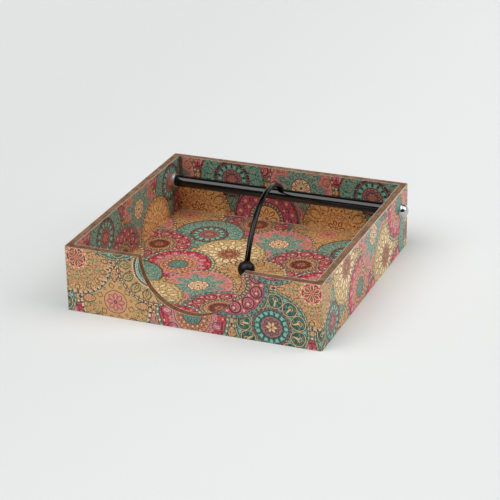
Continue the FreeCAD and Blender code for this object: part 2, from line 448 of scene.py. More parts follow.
MEDALLIONS: dict[Figure, Medallion] = {
    Figure.TEAL_FAN: Medallion(
        bands=((7.4, Ink.MAUVE), (8.2, Ink.PLUM), (12.8, Ink.DEEP_TEAL), (14.4, Ink.MAUVE),
               (15.2, Ink.PLUM), (26.1, Ink.SEA), (27.2, Ink.MAHOGANY), (28.0, Ink.BROWN)),
        dark=Ink.DARK_TEAL, bright=Ink.SAND, thread=(0.75, 0.4),
        ornaments=(
            Ornament(Motif.BEADS, Ink.PLUM, 5.0, size=1.4, count=8, line=0.5),
            Ornament(Motif.PETALS, Ink.CLAY, 2.2, size=1.9, width=0.8, count=6),
            Ornament(Motif.TICKS, Ink.AQUA, 10.5, size=1.3, width=1.3, count=14),
            Ornament(Motif.TICKS, Ink.WINE, 13.9, size=0.8, width=0.6, count=40),
            Ornament(Motif.PETALS, Ink.DARK_TEAL, 20.6, size=4.8, width=3.2, count=13,
                     line=0.6),
            Ornament(Motif.PETALS, Ink.CLAY, 20.0, size=2.0, width=0.7, count=13, line=0.5),
            Ornament(Motif.BEADS, Ink.CLAY, 17.6, size=0.7, count=13, phase=0.5),
            Ornament(Motif.BEADS, Ink.SIENNA, 23.6, size=0.8, count=13, phase=0.5),
        )),
    Figure.TEAL_STAR: Medallion(
        bands=((25.6, Ink.PINK), (26.4, Ink.MAHOGANY), (27.5, Ink.LEAF), (28.0, Ink.BROWN)),
        dark=Ink.MAHOGANY, bright=Ink.SALMON, thread=(0.6, 0.75),
        grounds=(
            Ornament(Motif.PETALS, Ink.SALMON, 22.0, size=3.8, width=3.0, count=9, phase=0.5),
            Ornament(Motif.STAR, Ink.SEA, 18.4, size=4.2, width=2.2, count=9),
        ),
        ornaments=(
            Ornament(Motif.PETALS, Ink.MAHOGANY, 22.0, size=4.0, width=3.2, count=9, phase=0.5,
                     line=0.6),
            Ornament(Motif.STAR, Ink.MAHOGANY, 18.8, size=4.2, width=2.2, count=9, line=0.6),
            Ornament(Motif.PETALS, Ink.DEEP_TEAL, 15.8, size=3.2, width=1.5, count=9, line=0.6),
            Ornament(Motif.BEADS, Ink.DEEP_TEAL, 11.2, size=1.5, count=12, phase=0.5, line=0.6),
            Ornament(Motif.RING, Ink.MAHOGANY, 0.0, line=16.6),
            Ornament(Motif.RING, Ink.CREAM, 0.0, line=15.0),
            Ornament(Motif.PETALS, Ink.MAHOGANY, 4.6, size=2.6, width=1.3, count=8, line=0.7),
            Ornament(Motif.BEADS, Ink.SALMON, 4.8, size=0.8, count=8),
            Ornament(Motif.RING, Ink.SIENNA, 0.0, line=2.6),
            Ornament(Motif.BEADS, Ink.CREAM, 27.0, size=0.65, count=40),
            Ornament(Motif.TICKS, Ink.NAVY, 26.9, size=0.55, width=0.45, count=40, phase=0.5),
        )),
    Figure.ROSE_PAISLEY: Medallion(
        bands=((7.6, Ink.MAHOGANY), (8.3, Ink.BROWN), (11.1, Ink.GILT), (11.6, Ink.BROWN),
               (13.5, Ink.SAND), (14.1, Ink.PLUM), (24.2, Ink.ROSE), (24.9, Ink.PLUM),
               (27.4, Ink.TEAL), (28.0, Ink.BROWN)),
        dark=Ink.WINE, bright=Ink.SALMON, thread=(0.75, 0.75),
        ornaments=(
            Ornament(Motif.BEADS, Ink.SALMON, 9.7, size=1.1, count=18),
            Ornament(Motif.BEADS, Ink.BROWN, 9.7, size=1.2, count=18, line=0.4),
            Ornament(Motif.TICKS, Ink.DEEP_TEAL, 12.6, size=0.9, width=0.6, count=34),
            Ornament(Motif.BEADS, Ink.WINE, 19.0, size=4.2, count=11, line=1.1),
            Ornament(Motif.BEADS, Ink.SALMON, 19.0, size=3.5, count=11, line=0.4),
            Ornament(Motif.BEADS, Ink.PLUM, 19.8, size=2.0, count=11, phase=0.1, line=0.6),
            Ornament(Motif.BEADS, Ink.GILT, 19.4, size=1.0, count=11, phase=0.06),
            Ornament(Motif.BEADS, Ink.GILT, 22.6, size=0.9, count=11, phase=0.5),
            Ornament(Motif.BEADS, Ink.GILT, 15.8, size=0.8, count=11, phase=0.5),
            Ornament(Motif.BEADS, Ink.DEEP_TEAL, 26.2, size=0.9, count=40),
            Ornament(Motif.PETALS, Ink.BROWN, 4.6, size=2.6, width=1.3, count=8, line=0.8),
            Ornament(Motif.PETALS, Ink.CLAY, 2.0, size=1.8, width=0.7, count=6),
        )),
    Figure.CREAM_DAISY: Medallion(
        bands=((7.6, Ink.MAHOGANY), (8.4, Ink.BROWN), (26.2, Ink.SAND), (26.8, Ink.OLIVE),
               (27.5, Ink.LEAF), (28.0, Ink.BROWN)),
        dark=Ink.OLIVE, bright=Ink.GILT, thread=(0.95, 0.9),
        ornaments=(
            Ornament(Motif.PETALS, Ink.LEAF, 20.4, size=5.4, width=3.6, count=14, phase=0.5,
                     line=0.8),
            Ornament(Motif.PETALS, Ink.CREAM, 12.6, size=4.2, width=2.3, count=14),
            Ornament(Motif.PETALS, Ink.SIENNA, 12.6, size=4.2, width=2.5, count=14, line=0.6),
            Ornament(Motif.BEADS, Ink.SIENNA, 12.9, size=0.7, count=14),
            Ornament(Motif.PETALS, Ink.CREAM, 20.6, size=3.8, width=1.7, count=14),
            Ornament(Motif.PETALS, Ink.BROWN, 20.6, size=3.8, width=1.8, count=14, line=0.6),
            Ornament(Motif.BEADS, Ink.MAHOGANY, 24.6, size=0.7, count=14, phase=0.5),
            Ornament(Motif.BEADS, Ink.CLAY, 5.0, size=1.5, count=8, line=0.6),
            Ornament(Motif.BEADS, Ink.CLAY, 1.6, size=0.8, count=4, line=0.6),
        )),
    Figure.RED_WHEEL: Medallion(
        bands=((6.9, Ink.TEAL), (7.6, Ink.BROWN), (11.0, Ink.CLAY), (11.6, Ink.SIENNA),
               (13.7, Ink.GILT), (14.3, Ink.MAHOGANY), (18.4, Ink.PINK), (24.6, Ink.RASPBERRY),
               (25.3, Ink.BROWN), (27.4, Ink.TEAL), (28.0, Ink.BROWN)),
        dark=Ink.WINE, bright=Ink.SALMON, thread=(0.7, 0.6),
        ornaments=(
            Ornament(Motif.PETALS, Ink.DEEP_TEAL, 3.8, size=2.6, width=1.1, count=6, line=0.6),
            Ornament(Motif.BEADS, Ink.CREAM, 9.3, size=0.7, count=16),
            Ornament(Motif.TICKS, Ink.RASPBERRY, 12.6, size=0.7, width=0.5, count=26),
            Ornament(Motif.BEADS, Ink.NAVY, 19.6, size=3.8, count=9, line=0.6),
            Ornament(Motif.BEADS, Ink.ROSE, 19.6, size=2.6, count=9),
            Ornament(Motif.PETALS, Ink.CREAM, 19.4, size=2.0, width=0.8, count=9, line=0.5),
            Ornament(Motif.BEADS, Ink.GILT, 22.8, size=0.7, count=9, phase=0.5),
            Ornament(Motif.BEADS, Ink.CREAM, 26.4, size=0.75, count=40),
        )),
    Figure.PALE_FLOWER: Medallion(
        bands=((26.0, Ink.OCHRE), (27.3, Ink.CREAM), (28.0, Ink.NAVY)),
        dark=Ink.BROWN, bright=Ink.GILT, thread=(0.9, 0.4),
        ornaments=(
            Ornament(Motif.RING, Ink.OCHRE, 0.0, line=16.6),
            Ornament(Motif.RING, Ink.PLUM, 8.6, line=0.5),
            Ornament(Motif.PETALS, Ink.ROSE, 4.0, size=2.9, width=1.3, count=8, line=0.9),
            Ornament(Motif.RING, Ink.PLUM, 0.9, line=0.8),
            Ornament(Motif.RING, Ink.OCHRE, 12.0, line=6.0),
            Ornament(Motif.DIAMONDS, Ink.SIENNA, 12.4, size=2.3, count=6, phase=0.3,
                     line=0.8),
            Ornament(Motif.BEADS, Ink.MAHOGANY, 12.2, size=0.9, count=6, phase=0.8,
                     line=0.5),
            Ornament(Motif.PETALS, Ink.LEAF, 19.4, size=6.0, width=4.4, count=8, phase=0.5,
                     line=0.8),
            Ornament(Motif.PETALS, Ink.BROWN, 20.4, size=5.2, width=3.0, count=8, line=0.7),
            Ornament(Motif.PETALS, Ink.SALMON, 20.4, size=3.0, width=1.0, count=8),
            Ornament(Motif.BEADS, Ink.PLUM, 26.7, size=0.8, count=40),
        )),
    Figure.RED_HEART: Medallion(
        bands=((7.4, Ink.RASPBERRY), (8.2, Ink.CREAM), (26.0, Ink.OCHRE), (27.3, Ink.CREAM),
               (28.0, Ink.NAVY)),
        dark=Ink.BROWN, bright=Ink.GILT, thread=(0.9, 0.45),
        ornaments=(
            Ornament(Motif.PETALS, Ink.PLUM, 4.6, size=2.6, width=1.6, count=6),
            Ornament(Motif.PETALS, Ink.GILT, 3.7, size=3.0, width=1.3, count=6, phase=0.5,
                     line=0.6),
            Ornament(Motif.BEADS, Ink.PINK, 5.6, size=0.7, count=6),
            Ornament(Motif.PETALS, Ink.SALMON, 13.6, size=5.0, width=3.4, count=8, line=0.8),
            Ornament(Motif.PETALS, Ink.LEAF, 13.6, size=2.8, width=1.4, count=8, line=0.7),
            Ornament(Motif.PETALS, Ink.CLAY, 18.2, size=5.6, width=3.6, count=8, phase=0.5,
                     line=0.7),
            Ornament(Motif.PETALS, Ink.LEAF, 18.0, size=2.8, width=1.2, count=8, phase=0.5,
                     line=0.6),
            Ornament(Motif.PETALS, Ink.OLIVE, 22.2, size=3.0, width=1.6, count=16, line=0.6),
            Ornament(Motif.BEADS, Ink.NAVY, 26.7, size=0.8, count=40),
        )),
    Figure.PALE_FAN: Medallion(
        bands=((8.0, Ink.SALMON), (10.6, Ink.DEEP_TEAL), (12.4, Ink.AQUA), (13.0, Ink.CREAM),
               (14.4, Ink.NAVY), (15.4, Ink.CREAM), (25.6, Ink.OCHRE), (26.4, Ink.MAHOGANY),
               (27.4, Ink.CREAM), (28.0, Ink.BROWN)),
        dark=Ink.DARK_TEAL, bright=Ink.GILT, thread=(0.85, 0.4),
        ornaments=(
            Ornament(Motif.PETALS, Ink.LEAF, 20.6, size=4.6, width=2.6, count=14, line=0.8),
            Ornament(Motif.PETALS, Ink.DARK_TEAL, 20.6, size=5.0, width=3.1, count=14,
                     line=0.6),
            Ornament(Motif.PETALS, Ink.OLIVE, 20.0, size=2.6, width=0.8, count=14, line=0.5),
            Ornament(Motif.PETALS, Ink.MAHOGANY, 17.6, size=1.6, width=0.8, count=12,
                     phase=0.5),
            Ornament(Motif.BEADS, Ink.CLAY, 23.8, size=0.9, count=12, phase=0.5),
            Ornament(Motif.TICKS, Ink.MAHOGANY, 13.7, size=0.5, width=0.5, count=30),
            Ornament(Motif.BEADS, Ink.NAVY, 26.9, size=0.6, count=44),
        )),
    Figure.HONEY_FLOWER: Medallion(
        bands=((20.6, Ink.HONEY), (26.0, Ink.OCHRE), (27.2, Ink.MAHOGANY), (28.0, Ink.BROWN)),
        dark=Ink.BROWN, bright=Ink.HONEY, thread=(0.75, 0.7),
        ornaments=(
            Ornament(Motif.RING, Ink.HONEY, 0.0, line=15.4),
            Ornament(Motif.PETALS, Ink.MAHOGANY, 4.4, size=2.6, width=1.2, count=7, line=0.9),
            Ornament(Motif.RING, Ink.MAHOGANY, 0.9, line=0.8),
            Ornament(Motif.PETALS, Ink.CLAY, 10.4, size=3.6, width=2.1, count=12, phase=0.5,
                     line=0.6),
            Ornament(Motif.PETALS, Ink.OLIVE, 20.0, size=5.4, width=3.6, count=12, line=0.7),
            Ornament(Motif.BEADS, Ink.MAHOGANY, 15.6, size=0.9, count=12, phase=0.5),
            Ornament(Motif.BEADS, Ink.HONEY, 17.8, size=1.0, count=12),
            Ornament(Motif.BEADS, Ink.CREAM, 26.6, size=0.6, count=44),
        )),
    Figure.HONEY_HEART: Medallion(
        bands=((10.8, Ink.HONEY), (11.5, Ink.BROWN), (13.7, Ink.CREAM), (14.3, Ink.PLUM),
               (25.6, Ink.ROSE), (26.6, Ink.PLUM), (27.4, Ink.DEEP_TEAL), (28.0, Ink.BROWN)),
        dark=Ink.PLUM, bright=Ink.PINK, thread=(0.45, 0.8),
        ornaments=(
            Ornament(Motif.RING, Ink.HONEY, 0.0, line=20.8),
            Ornament(Motif.PETALS, Ink.MAHOGANY, 5.6, size=3.4, width=1.4, count=8, line=0.7),
            Ornament(Motif.RING, Ink.MAHOGANY, 0.9, line=0.8),
            Ornament(Motif.TICKS, Ink.DEEP_TEAL, 12.6, size=0.9, width=0.7, count=30),
            Ornament(Motif.BEADS, Ink.HONEY, 17.4, size=1.2, count=12),
            Ornament(Motif.BEADS, Ink.HONEY, 22.4, size=1.3, count=14, phase=0.4),
            Ornament(Motif.BEADS, Ink.PLUM, 19.8, size=1.6, count=14, phase=0.9, line=0.6),
        )),
    Figure.TEAL_SCALLOPS: Medallion(
        bands=((7.4, Ink.MAUVE), (8.2, Ink.PLUM), (12.8, Ink.DEEP_TEAL), (13.8, Ink.MAUVE),
               (14.5, Ink.PLUM), (25.4, Ink.TEAL), (26.1, Ink.NAVY), (27.2, Ink.TEAL),
               (28.0, Ink.BROWN)),
        dark=Ink.DARK_TEAL, bright=Ink.GILT, thread=(0.9, 0.35),
        grounds=(
            Ornament(Motif.BEADS, Ink.DEEP_TEAL, 20.0, size=5.4, count=11),
        ),
        ornaments=(
            Ornament(Motif.BEADS, Ink.PLUM, 5.0, size=1.4, count=8, line=0.5),
            Ornament(Motif.PETALS, Ink.GILT, 2.2, size=1.9, width=0.8, count=6),
            Ornament(Motif.TICKS, Ink.AQUA, 10.5, size=1.2, width=1.2, count=16),
            Ornament(Motif.BEADS, Ink.DARK_TEAL, 20.0, size=5.4, count=11, line=1.3),
            Ornament(Motif.BEADS, Ink.GILT, 20.0, size=5.4, count=11, line=0.5),
            Ornament(Motif.PETALS, Ink.GILT, 18.8, size=3.0, width=0.7, count=11),
            Ornament(Motif.PETALS, Ink.GILT, 21.4, size=1.6, width=1.7, count=11, line=0.6),
            Ornament(Motif.BEADS, Ink.AQUA, 24.0, size=1.1, count=11, phase=0.5),
            Ornament(Motif.BEADS, Ink.SAND, 26.7, size=0.5, count=48),
        )),
}


@dataclass
class MedallionSheet:
    """The printed sheet: staggered rows of medallions, each row lying over the row above it.

    Lengths are millimetres of the print. Fine scrolls fill the medallions, and hoops the gaps.

    Attributes:
        pitch: The step from one medallion to the next in a row. Every other row is offset by
            half of it, and row_height is the step from row to row.
        sectors: How many times the scrolls repeat round a medallion.
        scroll_size: The scrolls' coarseness, and scroll_levels how closely their lines lie.
        scroll_step: The step through the noise from one kind of medallion to the next.
        dark_above: The ridge height from which a dark line is printed, and bright_below the
            one up to which a bright one is.
        hoop_pitch: The step between the hoops, whose radius and line are shares of it.
    """

    pitch: float = 58.4
    row_height: float = 29.8
    sectors: int = 14
    scroll_size: float = 4.2
    scroll_levels: float = 7.0
    scroll_step: float = 9.7
    dark_above: float = 0.74
    bright_below: float = 0.22
    hoop_pitch: float = 2.6
    hoop_radius: float = 0.34
    hoop_line: float = 0.07
    lattice: Tree = field(init=False)
    inks: Tree = field(init=False)

    def __post_init__(self) -> None:
        """Builds the two node groups that every printed paper shares."""
        self.lattice = self.build_lattice()
        self.inks = self.build_inks()

    def build_row(self, add: Adder, place: Node, row: Node) -> tuple[Node, ...]:
        """Finds the nearest medallion in a row.

        Args:
            add: add_node for the lattice's tree.
            place: The place on the sheet, split into its parts.
            row: The row's number, counted downwards.

        Returns:
            The offsets across and up from the medallion's centre, the row, its column and the
            distance.
        """
        odd = add("Math", (row, 2.0), operation="FLOORED_MODULO")
        shift = add("Math", (odd, -self.pitch / 2.0, place.outputs[0]),
                    operation="MULTIPLY_ADD")
        columns = add("Math", (shift, 1.0 / self.pitch), operation="MULTIPLY")
        column = add("Math", (columns,), operation="ROUND")
        across = add("Math", (column, -self.pitch, shift), operation="MULTIPLY_ADD")
        up = add("Math", (row, self.row_height, place.outputs[1]), operation="MULTIPLY_ADD")
        return across, up, row, column, distance(add, across, up)

    def build_lattice(self) -> Tree:
        """Finds the medallion that lies on top at a place on the sheet.

        Returns:
            The node group.
        """
        tree, add = new_group("medallion_lattice", {"Place": "Vector"},
                              {"Across": "Float", "Up": "Float", "Row": "Float",
                               "Column": "Float", "Cover": "Float"})
        place = add("SeparateXYZ", (add("NodeGroupInput"),))
        rows = add("Math", (place.outputs[1], -1.0 / self.row_height), operation="MULTIPLY")
        lower = add("Math", (rows,), operation="CEIL")
        upper = add("Math", (lower, 1.0), operation="SUBTRACT")
        near = self.build_row(add, place, lower)
        far = self.build_row(add, place, upper)
        on_top = add("Math", (near[-1], RIM), operation="LESS_THAN")
        chosen = [add("Mix", {SHARE: on_top, FLOAT_A: above, FLOAT_B: below},
                      data_type="FLOAT") for above, below in zip(far, near)]
        cover = add("Math", (chosen.pop(), RIM), operation="LESS_THAN")
        add("NodeGroupOutput", (*chosen, cover))
        return tree

    def build_inks(self) -> Tree:
        """Draws every kind of medallion and picks the one that its number names.

        Returns:
            The node group.
        """
        tree, add = new_group("medallion_inks",
                              {"Across": "Float", "Up": "Float", "Figure": "Float",
                               "Cover": "Float", "Place": "Vector"},
                              {"Colour": "Color", "Ridge": "Float"})
        across, up, figure, cover, place = list(add("NodeGroupInput").outputs)[:5]
        reach = distance(add, across, up)
        radians = add("Math", (up, across), operation="ARCTAN2")
        turn = add("Math", (radians, 1.0 / FULL_TURN), operation="MULTIPLY")
        cells = add("TexVoronoi", {"Vector": place, "Scale": 1.0 / self.hoop_pitch})
        hoops = add("Math", (cells, self.hoop_radius, self.hoop_line), operation="COMPARE")
        colour = add("Mix", {SHARE: hoops, COLOUR_A: linear(Ink.OCHRE.value),
                             COLOUR_B: linear(Ink.BROWN.value)}, data_type="RGBA")
        ridge = self.filigree(add, reach, turn, figure)
        dark = add("Math", (ridge, self.dark_above), operation="GREATER_THAN")
        bright = add("Math", (ridge, self.bright_below), operation="LESS_THAN")
        for kind in Figure:
            drawn = MEDALLIONS[kind].draw(add, reach, turn, (ridge, dark, bright))
            picked = add("Math", (figure, kind.number, SAME), operation="COMPARE")
            shown = add("Math", (picked, cover), operation="MULTIPLY")
            colour = add("Mix", {SHARE: shown, COLOUR_A: colour, COLOUR_B: drawn},
                         data_type="RGBA")
        add("NodeGroupOutput", (colour, ridge))
        return tree

    def filigree(self, add: Adder, reach: Node, turn: Node, figure: Socket) -> Node:
        """Draws the fine scrolls that fill a medallion, mirrored in every sector.

        Args:
            add: add_node for the print's tree.
            reach: The distance from the medallion's centre.
            turn: The direction from the centre, in turns.
            figure: The medallion's number, which gives each kind its own scrolls.

        Returns:
            A node that rises from 0 between the scrolls to 1 along them.
        """
        spokes = add("Math", (turn, float(self.sectors)), operation="MULTIPLY")
        cell = add("Math", (spokes,), operation="FRACT")
        middle = add("Math", (cell, 0.5), operation="SUBTRACT")
        fold = add("Math", (middle,), operation="ABSOLUTE")
        arc = add("Math", (fold, reach), operation="MULTIPLY")
        arc = add("Math", (arc, FULL_TURN / self.sectors), operation="MULTIPLY")
        deep = add("Math", (figure, self.scroll_step), operation="MULTIPLY")
        place = add("CombineXYZ", (arc, reach, deep))
        clouds = add("TexNoise", {"Vector": place, "Scale": 1.0 / self.scroll_size,
                                  "Detail": 1.0})
        levels = add("Math", (clouds, self.scroll_levels), operation="MULTIPLY")
        wave = add("Math", (levels, 0.5), operation="PINGPONG")
        return add("Math", (wave, 2.0), operation="MULTIPLY")


class Face(Enum):
    """The ways that a sheet lies on the tray."""

    FLAT = "level, across x and y"
    ALONG_X = "upright, along x"
    ALONG_Y = "upright, along y"


@dataclass(frozen=True)
class PrintedPaper:
    """Laminated printed paper glued on board. Lengths are millimetres.

    Offset print under a thin satin film: strong soft-edged inks, a broad dull shine that turns
    whitish at a low angle, and a pale core where the sheet is cut. On the top edges and along
    the sides' worn arris that pale colour is also a painted highlight of the rounded arris. The
    fibres are drawn at some ten times their real width, or the render wouldn't show them.

    Attributes:
        first_site: The place of the medallion at row 0 and column 0 on the face.
        layout: The medallions' letters from first_row and first_column on, which repeat.
        lifted: A medallion that lies over its lower left neighbour, with its row and column.
        drift: How far the print strays from its place, over steps of drift_pitch.
        fade: The shades of large patches, and fibre_shade those of the fibres.
        relief: The height of the scrolls, which are printed thick. gilding is their metal.
        worn_and_lit_from: The height above which the arris is chipped to the core and painted
            pale
        as the rounded arris's highlight.
        foot_line: The height of a cut edge that shows as a pale line.
        half_depth: The wall's outer face, where a wrap turns round the corner.
        scoop_half: Half the width in which the scoop's sawn edge is bare.
    """

    side: str
    face: Face
    first_site: tuple[float, float]
    layout: tuple[str, ...]
    first_row: int = 0
    first_column: int = 0
    quarter_turns: int = 0
    scale: float = 1.0
    lifted: tuple[Figure, int, int] | None = None
    drift_pitch: float = 6.25
    drift: float = 1.6
    fade_pitch: float = 40.0
    fade: tuple[float, float] = (0.9, 1.06)
    fibre_pitch: float = 0.5
    fibre_span: tuple[float, float] = (0.25, 0.75)
    fibre_shade: tuple[float, float] = (0.88, 1.12)
    fibre_depth: float = 0.05
    fibre_strength: float = 0.25
    relief: float = 0.06
    gilding: float = 0.0
    roughness: float = 0.42
    ior: float = 1.5
    # A colour multiplier on the print: a tint, and on the inside and the right face also painted
    # light.
    varnish: tuple[float, float, float] = (1.03, 0.98, 0.94)
    # The core's colour also serves as a painted highlight on upward edges and on the worn arris.
    core: str = "#D8C8B6"
    worn_and_lit_from: float = 0.0
    chips_per_mm: float = 0.7
    chip_depth: float = 1.6
    foot_line: float = 0.0
    foot_half: float = 0.3
    half_depth: float = 97.5
    scoop_half: float = 60.0

    @classmethod
    def inside(cls, side: str, face: Face, first_site: tuple[float, float],
               layout: tuple[str, ...], **others: Any) -> PrintedPaper:
        """Gives a paper for the inside, where gold foil lies under a shinier film. Its print is
        tinted warmer and brighter: partly its golden colour, partly painted warm bounce light.

        Args:
            side: The face's name.
            face: The way the sheet lies.
            first_site: The first medallion's place.
            layout: The medallions' letters, row by row.
            **others: Other fields.

        Returns:
            The paper.
        """
        return cls(side, face, first_site, layout, first_row=-1, first_column=-1, relief=0.2,
                   gilding=0.2, roughness=0.34, varnish=(1.17, 1.05, 0.98), **others)

    def surface_place(self, add: Adder, spot: Node, normal: Socket) -> Node:
        """Finds the place on the face in millimetres, unrolled round the corners.

        Args:
            add: add_node for the paper's tree.
            spot: The place on the tray, in millimetres.
            normal: The direction in which the surface faces.

        Returns:
            A node that gives the place.
        """
        x, y, z = add("SeparateXYZ", (spot,)).outputs
        if self.face is Face.FLAT:
            return add("CombineXYZ", (x, y, 0.0))
        if self.face is Face.ALONG_Y:
            return add("CombineXYZ", (y, z, 0.0))
        behind = add("Math", (y,), operation="ABSOLUTE")
        past = add("Math", (self.half_depth, behind), operation="SUBTRACT")
        sideways = add("SeparateXYZ", (normal,)).outputs[0]
        unrolled = add("Math", (sideways, past, x), operation="MULTIPLY_ADD")
        return add("CombineXYZ", (unrolled, z, 0.0))

    def bare_paper_and_highlight(self, add: Adder, spot: Node, normal: Socket) -> Node:
        """Finds where the sheet's pale core shows: cut edges, a worn arris and the foot line. On
        the upward edges and the worn arris the pale colour is also a painted highlight.

        Args:
            add: add_node for the paper's tree.
            spot: The place on the tray, in millimetres.
            normal: The direction in which the surface faces.

        Returns:
            A node that gives 1 where the core shows, and where it is painted as a highlight.
        """
        x, _, z = add("SeparateXYZ", (spot,)).outputs
        _, facing, upward = add("SeparateXYZ", (normal,)).outputs
        # Upward edges: the paper's cut core, painted pale also as the rounded arris's highlight.
        shown = [add("Math", (upward, FACING), operation="GREATER_THAN")]
        if self.face is Face.ALONG_X:
            turned = add("Math", (facing, 0.0, FACING), operation="COMPARE")
            middle = add("Math", (x, 0.0, self.scoop_half), operation="COMPARE")
            shown.append(add("Math", (turned, middle), operation="MULTIPLY"))
        # A ragged band along the top arris, painted pale as chipped core and as the arris's
        # highlight.
        if self.worn_and_lit_from:
            chips = add("TexNoise", {"Vector": spot, "Scale": self.chips_per_mm,
                                     "Detail": 3.0})
            height = add("Math", (chips, self.chip_depth, z), operation="MULTIPLY_ADD")
            shown.append(add("Math", (height, self.worn_and_lit_from + self.chip_depth / 2.0),
                             operation="GREATER_THAN"))
        if self.foot_line:
            shown.append(add("Math", (z, self.foot_line, self.foot_half), operation="COMPARE"))
        bare = shown[0]
        for cause in shown[1:]:
            bare = add("Math", (bare, cause), operation="MAXIMUM")
        return bare

    def figure_number(self, add: Adder, found: list[Socket]) -> Node:
        """Looks up which medallion the layout puts at a row and column.

        Args:
            add: add_node for the paper's tree.
            found: The lattice's across, up, row, column and cover.

        Returns:
            A node that gives the medallion's number.
        """
        rows, columns = len(self.layout), len(self.layout[0])
        row, column = (
            add("Math", (add("Math", (socket, float(first)), operation="SUBTRACT"),
                         float(count)), operation="FLOORED_MODULO")
            for socket, first, count in zip(found[2:4], (self.first_row, self.first_column),
                                            (rows, columns)))
        site = add("Math", (row, float(columns), column), operation="MULTIPLY_ADD")
        sites = rows * columns
        share = add("Math", (site, 1.0 / sites, 0.5 / sites), operation="MULTIPLY_ADD")
        ramp = add("ValToRGB", (share,))
        levels = [Figure(letter).number / len(Figure) for letter in "".join(self.layout)]
        cut_steps(ramp.color_ramp, [(number / sites, (level, level, level, 1.0))
                                    for number, level in enumerate(levels)])
        return add("Math", (ramp, float(len(Figure))), operation="MULTIPLY")

    def lift(self, add: Adder, place: Node, found: list[Socket], figure: Node,
             sheet: MedallionSheet) -> list[Node]:
        """Lays one medallion over the neighbour below it and to its left on the sheet.

        Args:
            add: add_node for the paper's tree.
            place: The place on the sheet.
            found: The lattice's across, up, row, column and cover.
            figure: The number of the medallion that the lattice found.
            sheet: The print's pitch and rows.

        Returns:
            The across, up, cover and figure number to draw.
        """
        kind, row, column = self.lifted
        x, y, _ = add("SeparateXYZ", (place,)).outputs
        across = add("Math", (x, sheet.pitch * (column + (row % 2) / 2.0)),
                     operation="SUBTRACT")
        up = add("Math", (y, row * sheet.row_height), operation="ADD")
        shown = add("Math", (distance(add, across, up), RIM), operation="LESS_THAN")
        for socket, number in zip(found[2:4], (row + 1, column - 1)):
            same = add("Math", (socket, float(number), SAME), operation="COMPARE")
            shown = add("Math", (shown, same), operation="MULTIPLY")
        pairs = ((found[0], across), (found[1], up), (found[4], 1.0), (figure, kind.number))
        return [add("Mix", {SHARE: shown, FLOAT_A: below, FLOAT_B: above}, data_type="FLOAT")
                for below, above in pairs]

    def draw_print(self, add: Adder, face: Node, sheet: MedallionSheet) -> Node:
        """Draws the print, a little out of place here and there as on stretched paper.

        Args:
            add: add_node for the paper's tree.
            face: The place on the face.
            sheet: The print's node groups.

        Returns:
            The group node that gives the ink's colour and the height of the scrolls.
        """
        place = add("Mapping", {
            "Vector": face, "Location": (*self.first_site, 0.0),
            "Rotation": (0.0, 0.0, self.quarter_turns * FULL_TURN / 4.0),
            "Scale": (self.scale, self.scale, 1.0)}, vector_type="TEXTURE")
        clouds = add("TexNoise", {"Vector": face, "Scale": 1.0 / self.drift_pitch,
                                  "Detail": 2.0})
        drift = add("VectorMath", (clouds.outputs["Color"], (0.5, 0.5, 0.5)),
                    operation="SUBTRACT")
        drift = add("VectorMath", {0: drift, "Scale": self.drift}, operation="SCALE")
        place = add("VectorMath", (place, drift), operation="ADD")
        found = list(add("Group", (place,), node_tree=sheet.lattice).outputs)
        figure = self.figure_number(add, found)
        across, up, cover = found[0], found[1], found[4]
        if self.lifted:
            across, up, cover, figure = self.lift(add, place, found, figure, sheet)
        return add("Group", (across, up, figure, cover, place), node_tree=sheet.inks)

    def build(self, sheet: MedallionSheet) -> Material:
        """Makes the material.

        Args:
            sheet: The print's node groups.

        Returns:
            The material.
        """
        material, add = new_material("offset_print_satin_film_" + self.side)
        coordinates = add("TexCoord")
        normal = coordinates.outputs["Normal"]
        spot = add("VectorMath", {0: coordinates.outputs["Object"], "Scale": PER_MM},
                   operation="SCALE")
        face = self.surface_place(add, spot, normal)
        inks = self.draw_print(add, face, sheet)
        patches, fibres = (add("TexNoise", {"Vector": face, "Scale": 1.0 / pitch,
                                            "Detail": 3.0})
                           for pitch in (self.fade_pitch, self.fibre_pitch))
        tone = add("MapRange", (patches, *NOISE_SPAN, *self.fade))
        grain = add("MapRange", (fibres, *self.fibre_span, *self.fibre_shade))
        shade = add("Math", (tone, grain), operation="MULTIPLY")
        printed = add("VectorMath", {0: inks, "Scale": shade}, operation="SCALE")
        # The tint, which is painted bounce light inside and a painted sheen on the right face.
        colour = add("VectorMath", (printed, self.varnish), operation="MULTIPLY")
        if self.face is not Face.FLAT:
            colour = add("Mix", {SHARE: self.bare_paper_and_highlight(add, spot, normal), COLOUR_A: colour,
                                 COLOUR_B: linear(self.core)}, data_type="RGBA")
        ridge = inks.outputs["Ridge"]
        bump = add("Bump", {"Strength": self.fibre_strength, "Distance": self.fibre_depth * MM,
                            "Height": fibres})
        embossed = add("Bump", {"Strength": 1.0, "Distance": self.relief * MM,
                                "Height": ridge, "Normal": bump})
        gilt = add("Math", (ridge, self.gilding), operation="MULTIPLY")
        shader = add("BsdfPrincipled", {
            "Base Color": colour, "Metallic": gilt, "Roughness": self.roughness,
            "IOR": self.ior, "Normal": embossed})
        add("OutputMaterial", (shader,))
        return material


